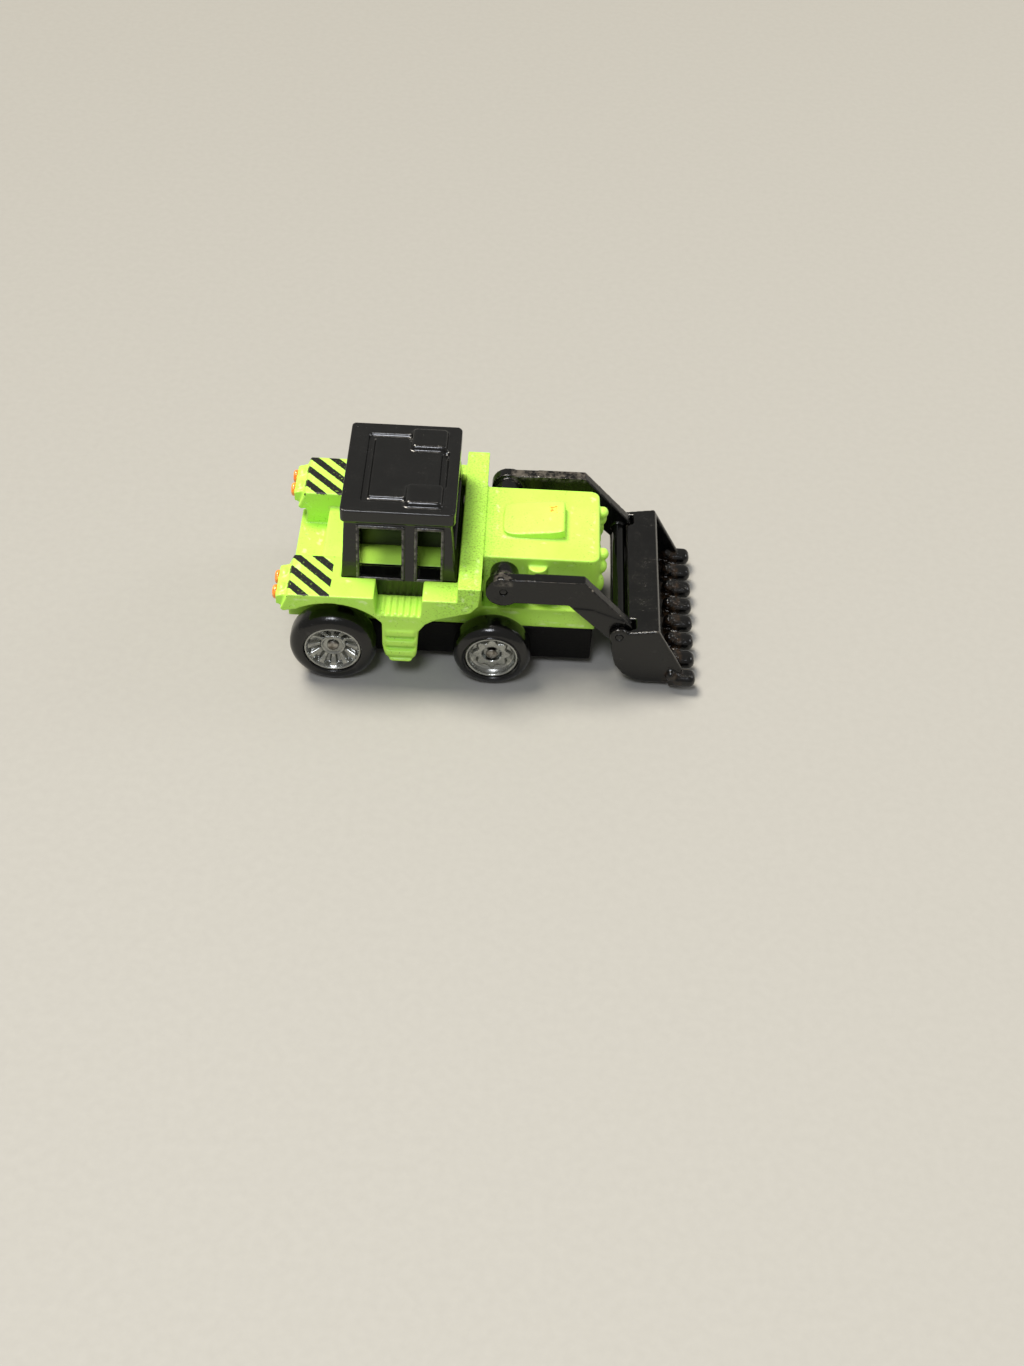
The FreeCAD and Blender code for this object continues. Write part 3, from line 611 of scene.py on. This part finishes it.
def roundScoop(shape):  # the scoop's top is crowned from side to side and its corners are round in plan
    values = scoopShape
    (rear, front), half, deck = values["ends"], values["half"], values["deck"]
    middle, reach = (rear + front) / 2, (front - rear) / 2
    margin, corner = values["margin"], values["corner"]
    for vert in shape.verts:
        x, y, z = vert.co
        inside = rear - margin < x < front + margin and abs(y) < half + margin
        if not (inside and z > deck + values["clear"]):
            continue
        along, across = (x - middle) / reach, y / half
        spread = (abs(along) ** corner + abs(across) ** corner) ** (1 / corner)
        if spread > 1:
            vert.co.x = middle + reach * along / spread
            vert.co.y = half * across / spread
        fall = values["crown"] * min(abs(across), 1.0) ** values["fall"]
        vert.co.z = deck + (z - deck) * (1 - fall)


lensShape = {"radius": 1.2, "round": 0.5, "proud": 0.08, "deep": 0.7, "segments": 32}


def makeLamps():  # the orange dabs on the tail lamps
    values = lensShape
    rear = boxOf("body_casting")[0].x
    radius, rounding, proud, deep = (values[name] for name in ("radius", "round", "proud", "deep"))
    section = [(0.0, proud)] + bend((radius - rounding, proud - rounding), rounding, 90, 0)
    section += [(radius, -deep), (0.0, -deep)]
    for side, sign in sides.items():
        shape = bmesh.new()
        for across in bodyCast["lampAcross"]:
            centre = (rear, sign * across, bodyCast["lampZ"])
            addTurned(shape, lambda angle: section, centre, (-1, 0, 0), False, values["segments"])
        finishPiece("tail_lamps_" + side, shape, "chassis", amber, "green_enamel")


cabShape = {
    "voxel": 0.2,
    "soften": 5,
    "keep": 1.0,
    "roofTop": 33.02,
    "pads": ((-14.4, -8.3), (4.7, 10.0), (32.3, 33.85)),  # x, |y|, z
    "padRound": 0.6,
    "windows": ((-21.8, -14.7), (-12.2, -8.2)),  # along X
    "windowZ": (19.9, 29.3),
    "sillHalf": 13.0,
    "sillZ": 19.4,
    "draft": (13.0 - 11.1) / (31.0 - 19.4),  # how far the side walls lean in, per mm of height
    "frameWide": 0.5,
    "frameProud": 0.2,
    "frameInset": 0.5,
    "frameLap": 0.1,
    "frameRound": 0.16,
}


def addFrames(shape, values):  # a raised, rounded frame round each side window, leaning with the wall
    wide, lap, (bottom, top) = values["frameWide"], values["frameLap"], values["windowZ"]
    beside = (values["sillHalf"] - values["frameInset"], values["sillHalf"] + values["frameProud"])
    for rear, front in values["windows"]:
        bars = (
            ((rear - wide, front + wide), beside, (bottom - wide, bottom + lap)),
            ((rear - wide, front + wide), beside, (top - lap, top + wide)),
            ((rear - wide, rear + lap), beside, (bottom - wide, top + wide)),
            ((front - lap, front + wide), beside, (bottom - wide, top + wide)),
        )
        for sign in sides.values():
            for spans in bars:
                before = set(shape.verts)
                addSideBlock(shape, sign, spans, values["frameRound"])
                for vert in set(shape.verts) - before:
                    vert.co.y -= sign * values["draft"] * (vert.co.z - values["sillZ"])


def makeCab():
    values = cabShape
    shape = bmesh.new()
    for sign in sides.values():
        addSideBlock(shape, sign, values["pads"], values["padRound"])
    roof = ((0, 0, values["roofTop"]), (0, 0, 1))
    shape = castShape("cab", "cab_moulding", shape, values, roof)
    addFrames(shape, values)
    finishPiece("cab_shell", shape, "chassis", cabBlack, "cab_black", "cab_moulding")


armShape = {
    "voxel": 0.18,
    "soften": 3,
    "keep": 1.0,
    # the raised lower panel, x and z
    "panel": ((17.4, 16.4), (23.0, 14.1), (22.9, 12.2), (20.4, 10.3), (13.9, 16.6)),
    "proud": 0.22,
    "sunk": 0.5,
}


def makeArms():
    values = armShape
    for side, sign in sides.items():
        node = "loader_arm_" + side
        low, high = boxOf(node)
        face = high.y if sign > 0 else low.y
        shape = bmesh.new()
        addSlice(shape, values["panel"], face - sign * values["sunk"], face + sign * values["proud"])
        shape = castShape("arm", node, shape, values)
        finishPiece("lift_arm_" + side, shape, "arms", loaderBlack, "loader_black", node)


bucketShape = {
    "voxel": 0.2,
    "soften": 3,
    "keep": 1.0,
    "teeth": 8,
    "pitch": 4.5,
    "lipX": 33.6,  # the plain lip is cut here; the teeth are shaped afresh
    "heel": (31.7, -0.35, 3.5),  # a lump at the root of each tooth, from the tooth's middle
    "heelRadii": (1.0, 1.1, 1.1),
    "toothLow": (31.9, 1.3),  # x, z
    "toothHigh": (36.0, 3.75),
    "toothHalf": 1.6,
    "toothRound": 1.15,
    "toothSteps": 5,
}


def makeBucket():
    values = bucketShape
    shape = bmesh.new()
    half, (x0, z0), (x1, z1) = values["toothHalf"], values["toothLow"], values["toothHigh"]
    heelX, aside, heelZ = values["heel"]
    for number in range(values["teeth"]):
        across = (number - (values["teeth"] - 1) / 2) * values["pitch"]
        low, high = (x0, across - half, z0), (x1, across + half, z1)
        addBlock(shape, low, high, values["toothRound"], values["toothSteps"])
        addBall(shape, (heelX, across + aside, heelZ), values["heelRadii"])
    lip = ((values["lipX"], 0, 0), (1, 0, 0))
    shape = castShape("bucket", "bucket", shape, values, lip)
    finishPiece("loading_bucket", shape, "bucket", loaderBlack, "loader_black", "bucket")


baseShape = {
    "voxel": 0.22,
    "soften": 3,
    "keep": 0.4,
    "ribs": 7,
    "ribHalf": 0.4,
    "ribEnd": 3,
    "ribRound": 0.2,
    "runnerSide": 1.0,
    "runnerWide": 1.2,
    "runnerEnd": 0.8,
    "runnerRound": 0.25,
    "tall": 0.35,
    "sunk": 0.5,
}


def makeBase():
    values = baseShape
    low, high = boxOf("base_plate")
    bottom, top = low.z - values["tall"], low.z + values["sunk"]
    shape = bmesh.new()
    for number in range(values["ribs"]):  # cross ribs under the pan, between its two side runners
        x = low.x + (high.x - low.x) * (number + 0.5) / values["ribs"]
        near = (x - values["ribHalf"], low.y + values["ribEnd"], bottom)
        far = (x + values["ribHalf"], high.y - values["ribEnd"], top)
        addBlock(shape, near, far, values["ribRound"])
    rear, front, wide = low.x + values["runnerEnd"], high.x - values["runnerEnd"], values["runnerWide"]
    for across in (low.y + values["runnerSide"], high.y - values["runnerSide"] - wide):
        addBlock(shape, (rear, across, bottom), (front, across + wide, top), values["runnerRound"])
    shape = castShape("base", "base_plate", shape, values)
    finishPiece("chassis_pan", shape, "chassis", chassisBlack, "chassis_black", "base_plate")


wheelShape = {
    "shoulder": 1.9,
    "bead": 0.35,
    "lap": 0.05,  # the tyre grips the hub by this much
    "rim": 0.5,
    "rimProud": 5.0,
    "bore": 0.66,
    "back": 0.2,
    "gap": 0.02,
    "faceStep": 0.12,
    "hubSegments": 192,
}


def makeWheels():
    values = wheelShape
    rounding, bead = values["shoulder"], values["bead"]
    for end, face in (("rear", rearFace), ("front", frontFace)):
        for side, sign in sides.items():
            corner = f"{end}_{side}"
            body = "wheel_" + corner
            low, high = boxOf("tyre_" + corner)
            middle = (low + high) / 2
            radius, width = (high.z - low.z) / 2, high.y - low.y
            hubLow, hubHigh = boxOf("hub_" + corner)
            hubRadius = (hubHigh.z - hubLow.z) / 2
            centre = (middle.x, low.y if sign > 0 else high.y, middle.z)
            section = [(hubRadius - values["lap"], bead)]
            section += bend((hubRadius + bead, bead), bead, 180, 270, 3)
            section += bend((radius - rounding, rounding), rounding, 270, 360)
            section += bend((radius - rounding, width - rounding), rounding, 0, 90)
            section += bend((hubRadius + bead, width - bead), bead, 90, 180, 3)
            shape = bmesh.new()
            addTurned(shape, lambda angle: section, centre, (0, sign, 0))
            finishPiece("vinyl_tyre_" + corner, shape, body, tyreBlack, "tyre_black", "tyre_" + corner)
            shape = bmesh.new()
            axle = {"centre": centre, "along": (0, sign, 0), "segments": values["hubSegments"]}
            addTurned(shape, lambda angle: hubSection(face, angle, hubRadius), **axle)
            finishPiece("foiled_hub_" + corner, shape, body, hubSilver, "hub_silver", "hub_" + corner)


# the hub faces: each pair is the two radii between which an edge rises or falls
rearHub = {
    "floor": 3.7,
    "dish": (2.2, 4.4),
    "dishTall": 0.8,
    "ring": ((1.75, 1.85), (2.05, 2.2)),
    "ringTall": 0.3,
    "slots": ((2.15, 2.4), (4.0, 4.3)),
    "slotDeep": 0.8,
    "fins": 12,
    "finEdge": (-0.5, 0.3),  # of the cosine round the hub
}
frontHub = {
    "floor": 3.5,
    "dish": (3.3, 3.9),
    "dishTall": 0.35,
    "cup": (1.45, 1.75),
    "cupDeep": 0.4,
    "lobes": 8,
    "starInner": (1.45, 1.7),
    "starReach": 2.55,  # between two lobes
    "lobeReach": 0.75,  # how much farther a lobe goes
    "starEdge": 0.15,
    "starTall": 0.6,
}


def ease(value, low, high):
    share = min(max((value - low) / (high - low), 0.0), 1.0)
    return share * share * (3 - 2 * share)


def band(radius, inner, outer):  # 1 between two eased edges
    return ease(radius, *inner) * (1 - ease(radius, *outer))


def rearFace(radius, angle):  # slots between twelve fins round a flat disc with a raised ring
    values = rearHub
    fin = ease(math.cos(values["fins"] * angle), *values["finEdge"])
    slot = band(radius, *values["slots"]) * (1 - fin)
    dish = ease(radius, *values["dish"]) * values["dishTall"]
    ring = band(radius, *values["ring"]) * values["ringTall"]
    return values["floor"] + dish + ring - slot * values["slotDeep"]


def frontFace(radius, angle):  # an eight-lobed star round a deep cup
    values = frontHub
    lobe = 0.5 + 0.5 * math.cos(values["lobes"] * angle)
    reach, edge = values["starReach"] + values["lobeReach"] * lobe, values["starEdge"]
    star = band(radius, values["starInner"], (reach - edge, reach + edge))
    cup = 1 - ease(radius, *values["cup"])
    dish = ease(radius, *values["dish"]) * values["dishTall"]
    return values["floor"] + star * values["starTall"] - cup * values["cupDeep"] + dish


def hubSection(face, angle, hubRadius):  # from the bore out over the face to the rounded rim
    values = wheelShape
    bore, step, rim = values["bore"], values["faceStep"], values["rim"]
    radii = [bore + step * number for number in range(int((hubRadius - rim - bore) / step))]
    points = [(bore, values["back"])] + [(radius, face(radius, angle)) for radius in radii]
    lip = (hubRadius - rim / 2 - values["gap"], values["rimProud"] - rim / 2)
    return points + bend(lip, rim / 2, 170, 0) + [(hubRadius - values["gap"], values["back"])]


turnedShape = {"bar": 0.6, "collar": 0.4, "dome": 0.3, "edge": 0.12, "segments": 40}


def makeTurned():  # axles with domed heads, and two plain pins with only their black ends in sight
    values = turnedShape
    for name, body, material in (
        ("rear_axle", "chassis", steel),
        ("front_axle", "chassis", steel),
        ("arm_pivot_pin", "chassis", tubeBlack),
        ("bucket_pivot_pin", "arms", tubeBlack),
    ):
        low, high = boxOf(name)
        middle, half = (low + high) / 2, (high.y - low.y) / 2
        head = (high.z - low.z) / 2
        bar = min(head, values["bar"])
        dome = values["dome"] if head > bar else values["edge"]
        section = [(head * x, half - dome + dome * y) for x, y in bend((0, 0), 1.0, 90, 0)]
        if head > bar:
            section += [(head, half - values["collar"]), (bar, half - values["collar"])]
        section += [(r, -d) for r, d in reversed(section)]
        shape = bmesh.new()
        centre = (middle.x, 0, middle.z)
        addTurned(shape, lambda angle: section, centre, (0, 1, 0), False, values["segments"])
        finishPiece("steel_" + name, shape, body, material, "bare_steel", name)


tubeShape = {"bore": 0.75, "fillet": 0.4, "segments": 64}


def makeCrossTube():  # the round bar between the arms, with a small fillet where it meets each
    low, high = boxOf("arm_cross_tube")
    middle, half = (low + high) / 2, (high.y - low.y) / 2
    radius, bore, fillet = (high.z - low.z) / 2, tubeShape["bore"], tubeShape["fillet"]
    flare = [(radius + fillet - x, half - fillet + y) for x, y in bend((0, 0), fillet, 0, 90)]
    section = [(bore, half)] + [(r, d) for r, d in reversed(flare)]
    section += [(r, -d) for r, d in reversed(section)]
    shape = bmesh.new()
    centre = (middle.x, 0, middle.z)
    addTurned(shape, lambda angle: section, centre, (0, 1, 0), segments=tubeShape["segments"])
    finishPiece("cross_tube", shape, "arms", tubeBlack, "loader_black", "arm_cross_tube")


def dressNodes():  # the rivets' CAD shapes are right; they only get their finish
    for name in ("rear_rivet", "front_rivet"):
        data = nodes[name].data
        data.materials.clear()
        data.materials.append(steel)


def makeFloor():
    half = studio["floorHalf"] * mm
    mesh = bpy.data.meshes.new("studioFloor")
    corners = [(-half, -half, 0), (half, -half, 0), (half, half, 0), (-half, half, 0)]
    mesh.from_pydata(corners, [], [(0, 1, 2, 3)])
    mesh.materials.append(studioCard())
    floor = bpy.data.objects.new("studioFloor", mesh)
    bpy.context.scene.collection.objects.link(floor)


placeCamera()
placeLights()
makeFloor()
makeBody()
makeLamps()
print("body made")
makeCab()
print("cab made")
makeArms()
makeBucket()
print("loader made")
makeBase()
makeWheels()
makeTurned()
makeCrossTube()
dressNodes()
print("running gear made")
